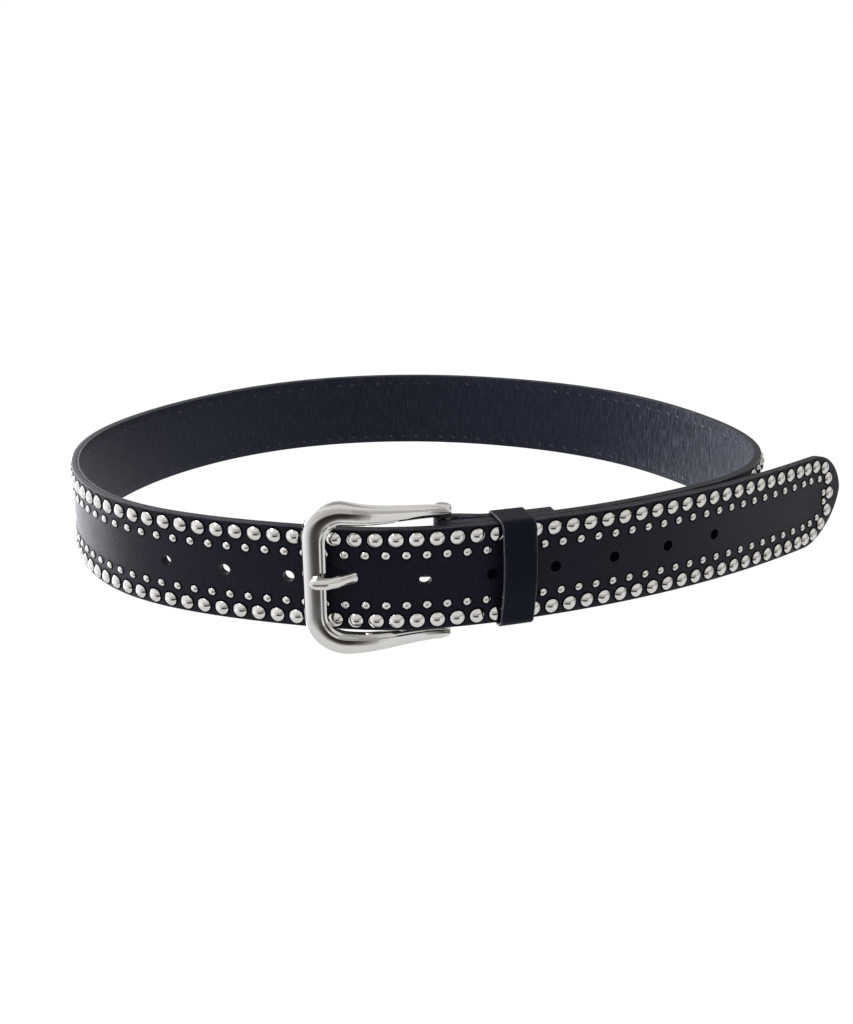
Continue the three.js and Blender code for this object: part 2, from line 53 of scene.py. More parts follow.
class Wire:
    """An output of a node, for use in Python expressions that add more nodes to its tree."""

    def __init__(self, tree, socket=None):
        self.tree = tree
        self.socket = socket

    def node(self, kind, settings, inputs, output=0):
        made = self.tree.nodes.new(kind)
        for name, value in settings.items():
            if name == "stops":
                ramp = made.color_ramp
                while len(ramp.elements) < len(value):
                    ramp.elements.new(0.5)
                for element, (place, shade) in zip(ramp.elements, value):
                    element.position = place
                    element.color = (*shade, 1)
            else:
                setattr(made, name, value)
        for name, value in inputs.items():
            if isinstance(value, Wire):
                self.tree.links.new(value.socket, made.inputs[name])
            else:
                made.inputs[name].default_value = value
        return Wire(self.tree, made.outputs[output])

    def other(self, name):
        """Another output of the same node."""
        return Wire(self.tree, self.socket.node.outputs[name])

    def maths(self, operation, *values):
        return self.node("ShaderNodeMath", {"operation": operation}, dict(enumerate(values)))

    def between(self, low, high):
        """0 below low and 1 above high, with a smooth rise."""
        inputs = {"Value": self, "From Min": low, "From Max": high}
        return self.node("ShaderNodeMapRange", {"interpolation_type": "SMOOTHSTEP"}, inputs)

    def __add__(self, other):
        return self.maths("ADD", self, other)

    def __sub__(self, other):
        return self.maths("SUBTRACT", self, other)

    def __rsub__(self, other):
        return self.maths("SUBTRACT", other, self)

    def __mul__(self, other):
        return self.maths("MULTIPLY", self, other)

    def __abs__(self):
        return self.maths("ABSOLUTE", self)

    __radd__ = __add__
    __rmul__ = __mul__


def mix_colours(share, below, above):
    """Colour that goes from below to above as share goes from 0 to 1."""
    inputs = {"Factor": share, 6: below, 7: above}
    return share.node("ShaderNodeMix", {"data_type": "RGBA"}, inputs, 2)


def grey(level):
    return (level, level, level, 1)


# The room as the metal and the leather mirror it: pale walls with dark upright screens, light from
# the left and from behind on the left, and a dark floor in front of the table
sky = bpy.data.worlds.new("studio")
bpy.context.scene.world = sky
sky.use_nodes = True
room = Wire(sky.node_tree)
direction = room.node("ShaderNodeTexCoord", {}, {})
east = room.node("ShaderNodeSeparateXYZ", {}, {0: direction})
north = east.other("Y")
height = east.other("Z")
walls = room.node(
    "ShaderNodeValToRGB",
    {"stops": [(0, (0.82, 0.82, 0.82)), (0.46, (0.96, 0.96, 0.96)), (0.50, (0.52, 0.50, 0.48)),
               (0.56, (0.56, 0.54, 0.52)), (0.66, (0.66, 0.64, 0.62)), (0.70, (0.90, 0.90, 0.90)),
               (0.88, (0.82, 0.82, 0.81)), (0.92, (0.42, 0.41, 0.40))]},
    {"Fac": height * 0.5 + 0.5})
compass = north.maths("ARCTAN2", north, east)
screens = compass.maths("SINE", compass * 5 + 0.6).between(0.40, 0.70)
screens = screens * height.between(-0.6, -0.5) * (1 - height.between(0.30, 0.36))
mirrored = mix_colours(screens * 0.35, walls, (0.24, 0.22, 0.20, 1))
ahead = (0 - north).between(0.60, 0.97)
near_floor = height.between(-0.60, -0.42) * (1 - height.between(-0.20, 0.02))
mirrored = mix_colours(ahead * near_floor, mirrored, (0.03, 0.025, 0.02, 1))
low = 1 - abs(height).between(0.35, 0.7)
from_left = (0 - east).between(0.2, 1.0)
mirrored = mix_colours(from_left * low * 0.6, mirrored, (1.5, 1.5, 1.6, 1))
behind_left = north.between(0.2, 0.5) * (0 - east).between(0.1, 0.35)
mirrored = mix_colours(behind_left * low, mirrored, (2.7, 2.7, 2.85, 1))
camera_ray = room.node("ShaderNodeLightPath", {}, {})
soft = mix_colours(from_left, (0.70, 0.70, 0.72, 1), (2.6, 2.6, 2.7, 1))
shown = mix_colours(camera_ray.other("Is Glossy Ray"), soft, mirrored)
shown = mix_colours(camera_ray, shown, grey(1))
background = sky.node_tree.nodes["Background"]
sky.node_tree.links.new(shown.socket, background.inputs["Color"])

bpy.ops.object.light_add(type="AREA", location=(-0.45, -0.35, 0.75))
lamp = bpy.context.object
lamp.data.size = 0.5
lamp.data.energy = 3.2
lamp.rotation_euler = (Vector((0, 0, 0)) - lamp.location).to_track_quat("-Z", "Y").to_euler()

bpy.ops.mesh.primitive_plane_add(size=12, location=(0, 0, -0.02 * mm))
table = bpy.context.object
table.name = "table"
table_paint = bpy.data.materials.new("white table")
table_paint.use_nodes = True
table_shader = table_paint.node_tree.nodes["Principled BSDF"]
table_shader.inputs["Base Color"].default_value = grey(0.02)
table_shader.inputs["Roughness"].default_value = 1
table_shader.inputs["Specular IOR Level"].default_value = 0
table_shader.inputs["Emission Color"].default_value = grey(1)
table_shader.inputs["Emission Strength"].default_value = 1
table.data.materials.append(table_paint)
table.visible_glossy = False

# Strap. It is one long piece of thick leather with a thin lining glued behind it. It is cut out
# straight, with a rounded tip, punched, and then bent into the loop that it stands in.
strap_width = 38 * mm
leather_thick = 2.1 * mm
lining_thick = 1.0 * mm
skin_gap = 0.1 * mm
strap_thick = leather_thick + skin_gap + lining_thick
layer_step = strap_thick + 0.5 * mm
bar_radius = 1.5 * mm
fold_radius = bar_radius + 0.3 * mm + strap_thick / 2
flap_length = 40 * mm
flap_closes = 16 * mm
hinge_station = 7.6 * mm
tip_station = 206 * mm
tip_apex = 21.5 * mm
tip_depth = 25 * mm
tip_low_power = 1.65
tip_high_depth = 18 * mm
tip_high_power = 1.9
plan_centre = Vector((11.6, 123.7, 0, 0)) * mm

# Middle of the strap's thickness: place in plan, how far the top leans out, and the edge's lift
front_rows = [Vector(row) * mm - plan_centre for row in (
    (-86.4, 15.8, 0.5, 7.5),
    (-50, 6, 0, 7.5),
    (-15, -0.5, -1, 7.5),
    (19, 5.5, -1, 7.5),
    (53, 16.5, 0, 7.5),
    (86, 30.5, -1, 7.5),
    (117, 49.5, -2.5, 6.5),
    (145, 71, -4, 5),
    (170, 92, -4.5, 4.5),
    (194, 111, -4.5, 4.5),
    (218, 130, -4.5, 4.5),
)]
loop_rows = [Vector(row) * mm - plan_centre for row in (
    (124, 60, 0, 7),
    (142, 92, 0, 6),
    (145, 130, -2, 3.5),
    (136, 166, -1, 1),
    (114, 202, 1.5, 0),
    (84, 226, 2, 0),
    (48, 242, 2, 0),
    (8, 251, 2, 0),
    (-33, 250.5, 0.5, 0),
    (-72, 240.5, -1.5, 0),
    (-106, 221, -3.5, 0),
    (-133, 191, -4, 0.5),
    (-149.6, 155.6, -3, 1.5),
    (-154.3, 114.8, -2, 4),
    (-144.2, 70.2, -1, 6),
    (-119.2, 33.6, 0, 7),
)]


def outward(before, after):
    """Unit step to the leather side of the way from before to after."""
    way = after - before
    return Vector((way.y, -way.x, 0, 0)).normalized()


def smooth_line(rows, steps=20):
    """Points of an even cubic B-spline, with all its columns."""
    points = []
    for a, b, c, d in zip(rows, rows[1:], rows[2:], rows[3:]):
        for k in range(steps):
            t = k / steps
            near = b * (3 * t ** 3 - 6 * t ** 2 + 4) + c * (-3 * t ** 3 + 3 * t ** 2 + 3 * t + 1)
            points.append((a * (1 - t) ** 3 + near + d * t ** 3) / 6)
    return points


layered_rows = [front_rows[i] - outward(front_rows[i - 1], front_rows[i + 1]) * layer_step
                for i in (1, 2, 3, 4, 5)]
belt_line = smooth_line(layered_rows + loop_rows + front_rows)
belt_run = [0]
for before, after in zip(belt_line, belt_line[1:]):
    belt_run.append(belt_run[-1] + (after - before).xy.length)


def on_belt(distance):
    """Point and outward direction at a distance along the belt's line."""
    i = next((k for k, run in enumerate(belt_run) if run > distance), len(belt_run) - 1)
    share = (distance - belt_run[i - 1]) / (belt_run[i] - belt_run[i - 1])
    ahead_point = belt_line[min(i + 1, len(belt_line) - 1)]
    return belt_line[i - 1].lerp(belt_line[i], share), outward(belt_line[max(i - 2, 0)], ahead_point)


middle = belt_run[next(i for i, point in enumerate(belt_line)
                       if i > len(belt_line) // 2 and (point + plan_centre).x > 0)]
hinge, hinge_out = on_belt(middle + hinge_station)
hinge_way = Vector((-hinge_out.y, hinge_out.x, 0, 0))
buckle_start = next(run for run, point in zip(belt_run, belt_line) if (point - hinge).dot(hinge_way) > 0)
buckle_end, buckle_out = on_belt(buckle_start)
bar_place = buckle_end - buckle_out * fold_radius


def knot(point, side=1):
    """Point of a helper line: its place, and the turn that makes the strap's top lean out."""
    return (point.x, point.y, point.w, math.atan2(point.z * side, strap_width))


strap_knots = []
flap_steps = 16
for i in range(flap_steps, 0, -1):
    run = flap_length * i / flap_steps
    point, out = on_belt(buckle_start + run)
    closing = min(run / flap_closes, 1)
    closing = closing * closing * (3 - 2 * closing)
    inward = 2 * fold_radius + (layer_step - 2 * fold_radius) * closing
    strap_knots.append(knot(point - out * inward, -1))
fold_steps = 16
for i in range(fold_steps):
    turn = math.pi * (1 - i / fold_steps)
    across = Vector((buckle_out.y, -buckle_out.x, 0, 0))
    out = buckle_out * math.cos(turn) + across * math.sin(turn)
    strap_knots.append(knot(bar_place + out * fold_radius, math.cos(turn)))
strap_knots.append(knot(buckle_end))
flat_start = sum((Vector(b[:3]) - Vector(a[:3])).length for a, b in zip(strap_knots, strap_knots[1:]))
fold_middle = flat_start - math.pi * fold_radius / 2
strap_knots += [knot(point) for run, point in zip(belt_run, belt_line) if run > buckle_start]


def helper_line(name, knots):
    """A line that straight pieces are bent along."""
    curve = bpy.data.curves.new(name, "CURVE")
    curve.dimensions = "3D"
    curve.twist_mode = "Z_UP"
    line = curve.splines.new("POLY")
    line.points.add(len(knots) - 1)
    for point, (x, y, z, tilt) in zip(line.points, knots):
        point.co = (x, y, z, 1)
        point.tilt = tilt
    path = bpy.data.objects.new(name, curve)
    bpy.context.collection.objects.link(path)
    return path


strap_path = helper_line("strap path", strap_knots)


def station(place):
    """Place on the straight strap of a distance along the free end from the middle of the front."""
    return flat_start + middle + place - buckle_start


def choose(piece):
    """Makes a piece the only selected and active one."""
    bpy.ops.object.select_all(action="DESELECT")
    piece.select_set(True)
    bpy.context.view_layer.objects.active = piece


def modify(piece, kind, **settings):
    """Adds a modifier to a piece and applies it."""
    choose(piece)
    modifier = piece.modifiers.new(kind.lower(), kind)
    for name, value in settings.items():
        setattr(modifier, name, value)
    bpy.ops.object.modifier_apply(modifier=modifier.name)


def fix_place(piece, name):
    """Names a piece and moves its place and size into its mesh."""
    choose(piece)
    bpy.ops.object.transform_apply(location=True, rotation=True, scale=True)
    piece.name = name
    piece.data.name = name


def join(pieces, name):
    """Joins pieces into the first of them."""
    bpy.ops.object.select_all(action="DESELECT")
    for piece in pieces:
        piece.select_set(True)
    bpy.context.view_layer.objects.active = pieces[0]
    bpy.ops.object.join()
    pieces[0].name = name
    return pieces[0]


hole_pitch = 24 * mm
hole_phase = -0.5 * mm
hole_radius = 2.1 * mm
cutters = []


def punch(x, height, half_length, half_height):
    """An oval cutter that stands through the straight strap."""
    bpy.ops.mesh.primitive_cylinder_add(
        vertices=24, radius=1, depth=8 * mm, location=(x, 0, height), rotation=(math.pi / 2, 0, 0))
    cutter = bpy.context.object
    cutter.scale = (half_length, half_height, 1)
    fix_place(cutter, "cutter")
    cutters.append(cutter)


for i in range(-4, 6):
    if i != -1:
        punch(station(hole_phase + i * hole_pitch), strap_width / 2, hole_radius, hole_radius)
prong_way_height = 19.8 * mm
punch(station(-26.2 * mm), prong_way_height, 2.3 * mm, 2.2 * mm)

# The oblong slot where the prong's eye turns in the fold
slot_half_length = math.pi * fold_radius / 2 + 9 * mm
slot_half_height = 3.4 * mm
bpy.ops.mesh.primitive_cube_add(size=2, location=(fold_middle, 0, strap_width / 2))
slot_cutter = bpy.context.object
slot_cutter.scale = (slot_half_length, 4 * mm, slot_half_height)
fix_place(slot_cutter, "cutter")
bpy.ops.object.mode_set(mode="EDIT")
bpy.ops.mesh.select_all(action="SELECT")
bpy.ops.object.mode_set(mode="OBJECT")
for edge in slot_cutter.data.edges:
    ends = [slot_cutter.data.vertices[i].co for i in edge.vertices]
    edge.select = abs(ends[0].y - ends[1].y) > mm
bpy.ops.object.mode_set(mode="EDIT")
bpy.ops.mesh.select_mode(type="EDGE")
bpy.ops.mesh.bevel(offset=slot_half_height * 0.9, segments=6)
bpy.ops.object.mode_set(mode="OBJECT")
cutters.append(slot_cutter)
punches = join(cutters, "punches")

strap_length = station(tip_station)
column = 7.12 * mm / 6
tip_start = strap_length - tip_depth


def tip_share(depth, power, back):
    """Share of a half of the strap's height that the rounded tip leaves at a distance from its end."""
    return max(1 - max(1 - back / depth, 0) ** power, 0) ** (1 / power)


def strap_skin(name, face, thick, finish):
    """One skin of the straight strap, cut to the tip's outline and punched."""
    columns = round(strap_length / column)
    bpy.ops.mesh.primitive_grid_add(
        x_subdivisions=columns, y_subdivisions=8, size=1,
        location=(strap_length / 2, face, strap_width / 2), rotation=(math.pi / 2, 0, 0))
    skin = bpy.context.object
    skin.scale = (strap_length, strap_width, 1)
    fix_place(skin, name)
    for vertex in skin.data.vertices:
        share = (vertex.co.x - tip_start) / tip_depth
        if share > 0:
            back = tip_depth * (1 - math.sin(min(share, 1) * math.pi / 2))
            low = tip_apex * (1 - tip_share(tip_depth, tip_low_power, back))
            high = tip_apex + (strap_width - tip_apex) * tip_share(tip_high_depth, tip_high_power, back)
            vertex.co.x = strap_length - back
            vertex.co.z = low + (high - low) * vertex.co.z / strap_width
    bpy.ops.object.mode_set(mode="EDIT")
    bpy.ops.mesh.select_all(action="SELECT")
    bpy.ops.mesh.remove_doubles(threshold=0.01 * mm)
    bpy.ops.object.mode_set(mode="OBJECT")
    for paint in (finish, edge_paint, rubbed_and_highlit_edge):
        skin.data.materials.append(paint)
    modify(skin, "SOLIDIFY", thickness=thick, offset=-1, material_offset_rim=1)
    modify(skin, "BEVEL", width=0.3 * mm, segments=2, limit_method="ANGLE",
           angle_limit=math.radians(50), use_clamp_overlap=False, material=2)
    modify(skin, "BOOLEAN", object=punches, operation="DIFFERENCE", solver="EXACT")
    return skin


def keep_flat_map(piece):
    """Keeps each point's place on the straight strap, in millimetres, as the piece's UV map."""
    layer = piece.data.uv_layers.new(name="flat")
    for loop in piece.data.loops:
        place = piece.data.vertices[loop.vertex_index].co
        layer.data[loop.index].uv = (place.x / mm, place.z / mm)


def bend(piece, path):
    """Bends a straight piece along a helper line."""
    modify(piece, "CURVE", object=path)
    choose(piece)
    bpy.ops.object.shade_smooth_by_angle(angle=math.radians(38))


def shader_of(name):
    """A new material, its start for expressions, and its shader."""
    material = bpy.data.materials.new(name)
    material.use_nodes = True
    return material, Wire(material.node_tree), material.node_tree.nodes["Principled BSDF"]


def feed(shader, name, value):
    """Sets an input of a shader, or links an expression to it."""
    if isinstance(value, Wire):
        value.tree.links.new(value.socket, shader.inputs[name])
    else:
        shader.inputs[name].default_value = value


# Places of the studs on the straight strap, which the leather is pressed in around and painted dark round
# as shade
stud_pitch = 7.12 * mm
stud_phase = 3.7 * mm
stud_inset = 3.8 * mm
stud_radius = 2.6 * mm
small_inset = 9.6 * mm
small_radius = 1.42 * mm
last_straight = 24
last_stud = station(stud_phase + last_straight * stud_pitch)
studs_from = flat_start + 138 * mm
stud_count = int((last_stud - studs_from) / stud_pitch) + 1
first_stud = last_stud - (stud_count - 1) * stud_pitch


def tip_places(places):
    """Places on the straight strap, from distances back from the tip and heights in millimetres."""
    return [Vector((strap_length - back * mm, 0, height * mm)) for back, height in places]


large_tip = tip_places([
    (25.4, 34.2), (18.8, 34.0), (12.0, 32.3), (9.3, 27.3), (8.3, 20.7), (9.8, 13.5), (14.3, 8.3),
    (19.9, 4.8), (25.9, 4.0),
])
small_tip = tip_places([
    (22.3, 28.6), (15.8, 28.2), (12.4, 21.6), (12.2, 17.6), (17.2, 11.6), (22.5, 10.2),
])

leather, wire, shader = shader_of("outer leather")
flat = wire.node("ShaderNodeUVMap", {"uv_map": "flat"}, {})
along = wire.node("ShaderNodeSeparateXYZ", {}, {0: flat})
from_middle = abs(along.other("Y") - strap_width / 2 / mm)


def row_distance(first, inset, last):
    """Distance in millimetres from the nearest stud centre of a pair of rows."""
    pitch = stud_pitch / mm
    shifted = along - (first / mm - pitch / 2)
    sideways = abs(shifted.maths("FLOORED_MODULO", shifted, pitch) - pitch / 2)
    beyond = along - (last / mm + pitch / 2)
    before = (first / mm - pitch / 2) - along
    sideways = sideways + 20 * (beyond.maths("MAXIMUM", beyond, 0) + before.maths("MAXIMUM", before, 0))
    upright = from_middle - (strap_width / 2 - inset) / mm
    squares = sideways * sideways + upright * upright
    return squares.maths("SQRT", squares)


def point_distance(place):
    """Distance in millimetres from one stud."""
    centre = (place.x / mm, place.z / mm, 0)
    return wire.node("ShaderNodeVectorMath", {"operation": "DISTANCE"}, {0: flat, 1: centre}, "Value")


def nearest(distances):
    found = distances[0]
    for distance in distances[1:]:
        found = found.maths("MINIMUM", found, distance)
    return found


large_distance = nearest([row_distance(first_stud, stud_inset, last_stud)]
                         + [point_distance(place) for place in large_tip])
half_pitch = stud_pitch / 2
small_distance = nearest([row_distance(first_stud + half_pitch, small_inset, last_stud + half_pitch)]
                         + [point_distance(place) for place in small_tip])
clear = nearest([large_distance - stud_radius / mm, small_distance - small_radius / mm])
pressed_and_shaded = 1 - clear.between(0.15, 0.85)
stretched = wire.node("ShaderNodeMapping", {}, {"Vector": flat, "Scale": (1.0, 0.45, 1)})
pores = wire.node("ShaderNodeTexVoronoi", {}, {"Vector": stretched, "Scale": 1.9, "Randomness": 1})
grain = wire.node(
    "ShaderNodeTexNoise", {}, {"Vector": stretched, "Scale": 0.9, "Detail": 5, "Roughness": 0.6})
broad = wire.node("ShaderNodeTexNoise", {}, {"Vector": flat, "Scale": 0.045, "Detail": 2})
relief = grain * 0.9 + pores * 0.6 - pressed_and_shaded * 3
bumped = wire.node("ShaderNodeBump", {}, {"Strength": 0.7, "Distance": 0.2 * mm, "Height": relief})
colour = mix_colours(grain.between(0.3, 0.75), (0.0008, 0.0012, 0.0048, 1), (0.0030, 0.0037, 0.0095, 1))
# Round each stud the leather is painted almost black: painted shade in the pressed ring, besides its real
# dent in the bump
colour = mix_colours(pressed_and_shaded, colour, (0.0002, 0.0002, 0.0003, 1))
feed(shader, "Base Color", colour)
feed(shader, "Roughness", broad.between(0.3, 0.7) * 0.08 + grain * 0.1 + pressed_and_shaded * 0.4 + 0.34)
feed(shader, "Specular IOR Level", 0.07)
feed(shader, "Specular Tint", (0.72, 0.80, 1, 1))
feed(shader, "Coat Weight", 1 - pressed_and_shaded)
feed(shader, "Coat IOR", 1.2)
feed(shader, "Coat Roughness", 0.48)
feed(shader, "Sheen Weight", 0.04)
feed(shader, "Sheen Roughness", 0.2)
feed(shader, "Sheen Tint", (0.80, 0.86, 1, 1))
feed(shader, "Normal", bumped)

edge_paint, wire, shader = shader_of("edge paint")
spot = wire.node("ShaderNodeTexCoord", {}, {}, 3)
mottle = wire.node("ShaderNodeTexNoise", {}, {"Vector": spot, "Scale": 900, "Detail": 3})
feed(shader, "Base Color", mix_colours(mottle, (0.0025, 0.003, 0.006, 1), (0.008, 0.009, 0.014, 1)))
feed(shader, "Roughness", mottle * 0.2 + 0.36)
feed(shader, "Specular IOR Level", 0.18)
bumped = wire.node("ShaderNodeBump", {}, {"Strength": 0.2, "Distance": 0.1 * mm, "Height": mottle})
feed(shader, "Normal", bumped)

# Rounded edges of the strap and the keeper: lighter in patches, partly real rubbed wear and partly painted
# highlight where the light catches the bevel
rubbed_and_highlit_edge, wire, shader = shader_of("rubbed edge and painted highlight")
spot = wire.node("ShaderNodeTexCoord", {}, {}, 3)
rub_and_highlight_noise = wire.node("ShaderNodeTexNoise", {}, {"Vector": spot, "Scale": 160, "Detail": 3})
colour = mix_colours(rub_and_highlight_noise.between(0.3, 0.7), (0.004, 0.005, 0.008, 1), (0.040, 0.044, 0.056, 1))
feed(shader, "Base Color", colour)
feed(shader, "Roughness", rub_and_highlight_noise * 0.2 + 0.32)
feed(shader, "Specular IOR Level", 0.35)

strap = strap_skin("strap", -strap_thick / 2, leather_thick, leather)
keep_flat_map(strap)
bend(strap, strap_path)
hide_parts("strap_leather")
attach(strap, "root")

# Lining. A thin, soft leather behind the strap, creased across by bending. The clenched ends of
# the studs press through it as short marks along both edges. Its colour is painted lighter towards the
# right, where the light falls, with painted highlights on the creases and painted glints on the marks
# there.
lining_leather, wire, shader = shader_of("lining leather")
flat = wire.node("ShaderNodeUVMap", {"uv_map": "flat"}, {})
along = wire.node("ShaderNodeSeparateXYZ", {}, {0: flat})
up = along.other("Y")
pitch = stud_pitch / mm
shifted = along - (first_stud / mm - pitch / 2)
sideways = shifted.maths("FLOORED_MODULO", shifted, pitch) - pitch / 2
from_row = abs(up - strap_width / 2 / mm) - (strap_width / 2 - stud_inset) / mm
upper = along.maths("SIGN", up - strap_width / 2 / mm)
slanted = from_row - sideways * upper * 0.45 + upper * 0.5
marks_and_glints = (1 - abs(sideways).between(0.7, 1.3)) * (1 - abs(slanted).between(0.16, 0.42))
uneven = wire.node("ShaderNodeTexNoise", {}, {"Vector": flat, "Scale": 0.16, "Detail": 1})
marks_and_glints = marks_and_glints * (uneven.between(0.36, 0.62) * 0.7 + 0.3)
marks_and_glints = marks_and_glints * along.between(first_stud / mm - 3, first_stud / mm)
# The right side of the lining is painted lighter: painted light where it faces the light
lit_right_side = 1 - along.between(255, 375)
crease_space = wire.node("ShaderNodeMapping", {}, {"Vector": flat, "Scale": (1.25, 0.12, 1)})
creases = wire.node(
    "ShaderNodeTexNoise", {}, {"Vector": crease_space, "Scale": 1.0, "Detail": 6, "Roughness": 0.65})
fibres = wire.node("ShaderNodeTexNoise", {}, {"Vector": flat, "Scale": 2.6, "Detail": 3})
# Light streaks on the creases: partly wear, partly painted highlights where the light catches them,
# strongest on the right
worn_and_lit_creases = creases.between(0.46, 0.60) * (lit_right_side * 0.9 + 0.1)
colour = mix_colours(lit_right_side, (0.0034, 0.0046, 0.0110, 1), (0.0085, 0.0102, 0.0175, 1))
colour = mix_colours(worn_and_lit_creases, colour, (0.0680, 0.0740, 0.0960, 1))
# The marks are painted light grey as glints on the clenched metal ends, painted brighter on the right
# where the light falls
colour = mix_colours(marks_and_glints * (lit_right_side * 0.75 + 0.2), colour, (0.24, 0.245, 0.26, 1))
feed(shader, "Base Color", colour)
feed(shader, "Roughness", fibres * 0.12 + worn_and_lit_creases * 0.08 + 0.40)
feed(shader, "Specular IOR Level", 0.25)
feed(shader, "Specular Tint", (0.72, 0.80, 1, 1))
feed(shader, "Sheen Weight", 0.14)
feed(shader, "Sheen Roughness", 0.25)
feed(shader, "Sheen Tint", (0.80, 0.86, 1, 1))
relief = creases * (lit_right_side * 2.4 + 0.4) + fibres * 0.4 + marks_and_glints * 1.5
bumped = wire.node("ShaderNodeBump", {}, {"Strength": 1, "Distance": 0.4 * mm, "Height": relief})
feed(shader, "Normal", bumped)

lining_face = -strap_thick / 2 + leather_thick + skin_gap
lining = strap_skin("lining", lining_face, lining_thick, lining_leather)
keep_flat_map(lining)
bend(lining, strap_path)
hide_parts("strap_lining")
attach(lining, "root")

# Studs. Pressed caps of polished nickel, clenched through the leather: a large row near each
# edge that turns round the tip, and a row of small ones inside it, set between the large ones.
nickel, wire, shader = shader_of("polished nickel")
spot = wire.node("ShaderNodeTexCoord", {}, {}, 3)
haze = wire.node("ShaderNodeTexNoise", {}, {"Vector": spot, "Scale": 260, "Detail": 3})
feed(shader, "Base Color", mix_colours(haze, (0.66, 0.645, 0.62, 1), (0.73, 0.715, 0.69, 1)))
feed(shader, "Metallic", 1.0)
feed(shader, "Roughness", haze * 0.04 + 0.02)


def cap(name, x, height, radius, segments, skirt):
    """A flat dome cut from a ball, on a short upright skirt, seated on the strap's face."""
    rings = 11
    spread = 3 * math.pi / rings
    ball = radius / math.sin(spread)
    bpy.ops.mesh.primitive_uv_sphere_add(
        segments=segments, ring_count=rings, radius=ball, location=(0, 0, skirt - ball * math.cos(spread)))
    made = bpy.context.object
    fix_place(made, name)
    bpy.ops.object.mode_set(mode="EDIT")
    bpy.ops.mesh.select_mode(type="VERT")
    bpy.ops.mesh.select_all(action="DESELECT")
    bpy.ops.object.mode_set(mode="OBJECT")
    for vertex in made.data.vertices:
        vertex.select = vertex.co.z < skirt - 0.01 * mm
    bpy.ops.object.mode_set(mode="EDIT")
    bpy.ops.mesh.delete(type="VERT")
    bpy.ops.mesh.select_all(action="DESELECT")
    bpy.ops.mesh.select_non_manifold()
    bpy.ops.mesh.extrude_region_move(TRANSFORM_OT_translate={"value": (0, 0, -skirt)})
    bpy.ops.mesh.edge_face_add()
    bpy.ops.mesh.select_all(action="SELECT")
    bpy.ops.mesh.normals_make_consistent(inside=False)
    bpy.ops.object.mode_set(mode="OBJECT")
    made.rotation_euler = (math.pi / 2, 0, 0)
    made.location = (x, -strap_thick / 2 + 0.05 * mm, height)
    fix_place(made, name)
    return made


def stud_rows(name, first, count, inset, shape):
    """A pair of rows of caps, one above the other."""
    rows = cap(name, first, inset, *shape)
    modify(rows, "ARRAY", count=count, use_relative_offset=False, use_constant_offset=True,
           constant_offset_displace=(stud_pitch, 0, 0))
    modify(rows, "ARRAY", count=2, use_relative_offset=False, use_constant_offset=True,
           constant_offset_displace=(0, 0, strap_width - 2 * inset))
    return rows


large_shape = (stud_radius, 14, 0.5 * mm)
small_shape = (small_radius, 10, 0.35 * mm)
large = [stud_rows("large studs", first_stud, stud_count, stud_inset, large_shape)]
large += [cap("tip stud", place.x, place.z, *large_shape) for place in large_tip]
small = [stud_rows("small studs", first_stud + stud_pitch / 2, stud_count, small_inset, small_shape)]
small += [cap("tip stud", place.x, place.z, *small_shape) for place in small_tip]
large_studs = join(large, "large_caps")
small_studs = join(small, "small_caps")
for studs in (large_studs, small_studs):
    studs.data.materials.append(nickel)
    bend(studs, strap_path)
    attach(studs, "root")
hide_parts("large_studs")

# Buckle frame. A cast, polished horseshoe that is squared at the left. Its front slopes out from
# a ridge near the inside, and the arms taper and step back to the bar that carries the fold.
frame_outer = {"left": -42.5, "top": 57.3, "top_end": 51.2, "top_radius": 13,
               "bottom": 0, "bottom_end": 0.4, "bottom_radius": 15}
frame_inner = {"left": -34.3, "top": 48.6, "top_end": 46.7, "top_radius": 6.5,
               "bottom": 8.4, "bottom_end": 5.2, "bottom_radius": 7}
frame_right = 8.6
frame_front = -3
frame_steps_back_from = -28
arm_flare = 1.5


def horseshoe(outline):
    """Points of one outline of the frame from the top arm's end round to the bottom arm's end."""
    def arm(end, edge, radius):
        corner = outline["left"] + radius
        points = []
        for i in range(24):
            t = i / 24
            x = frame_right + (corner - frame_right) * t
            points.append(Vector((x, end + (edge - end) * t ** arm_flare)))
        side = math.copysign(1, edge - strap_width / 2 / mm)
        for i in range(13):
            turn = math.pi / 2 * i / 12
            x = corner - radius * math.sin(turn)
            points.append(Vector((x, edge - side * radius * (1 - math.cos(turn)))))
        return points
    upper = arm(outline["top_end"], outline["top"], outline["top_radius"])
    lower = arm(outline["bottom_end"], outline["bottom"], outline["bottom_radius"])
    return upper + lower[::-1]


bar_plan = (bar_place + plan_centre).xy / mm
frame_knots = []
frame_widths = []
for outer, inner in zip(horseshoe(frame_outer), horseshoe(frame_inner)):
    centre = (outer + inner) / 2
    back = min(max((centre.x - frame_steps_back_from) / (frame_right - frame_steps_back_from), 0), 1)
    back = back * back * (3 - 2 * back)
    reach = bar_plan.y - (1 if centre.y > strap_width / 2 / mm else 2.4)
    depth = frame_front + (reach - frame_front) * back
    frame_knots.append((centre.x * mm, centre.y * mm, -depth * mm, 0))
    frame_widths.append((outer - inner).length * mm)
frame_runs = [0]
for before, after in zip(frame_knots, frame_knots[1:]):
    frame_runs.append(frame_runs[-1] + (Vector(after[:3]) - Vector(before[:3])).length)

# Section of the frame: share across from the outer edge to the inner one, and share of its depth
frame_section = [
    (-0.50, -0.12), (-0.485, 0.10), (-0.43, 0.28), (-0.30, 0.42), (-0.10, 0.49), (0.12, 0.50),
    (0.24, 0.47), (0.30, 0.36), (0.38, 0.33), (0.46, 0.20), (0.50, 0.02), (0.48, -0.25),
    (0.36, -0.46), (0.0, -0.50), (-0.36, -0.46),
]
frame_depth = 5.0 * mm
end_depth = 3.4 * mm


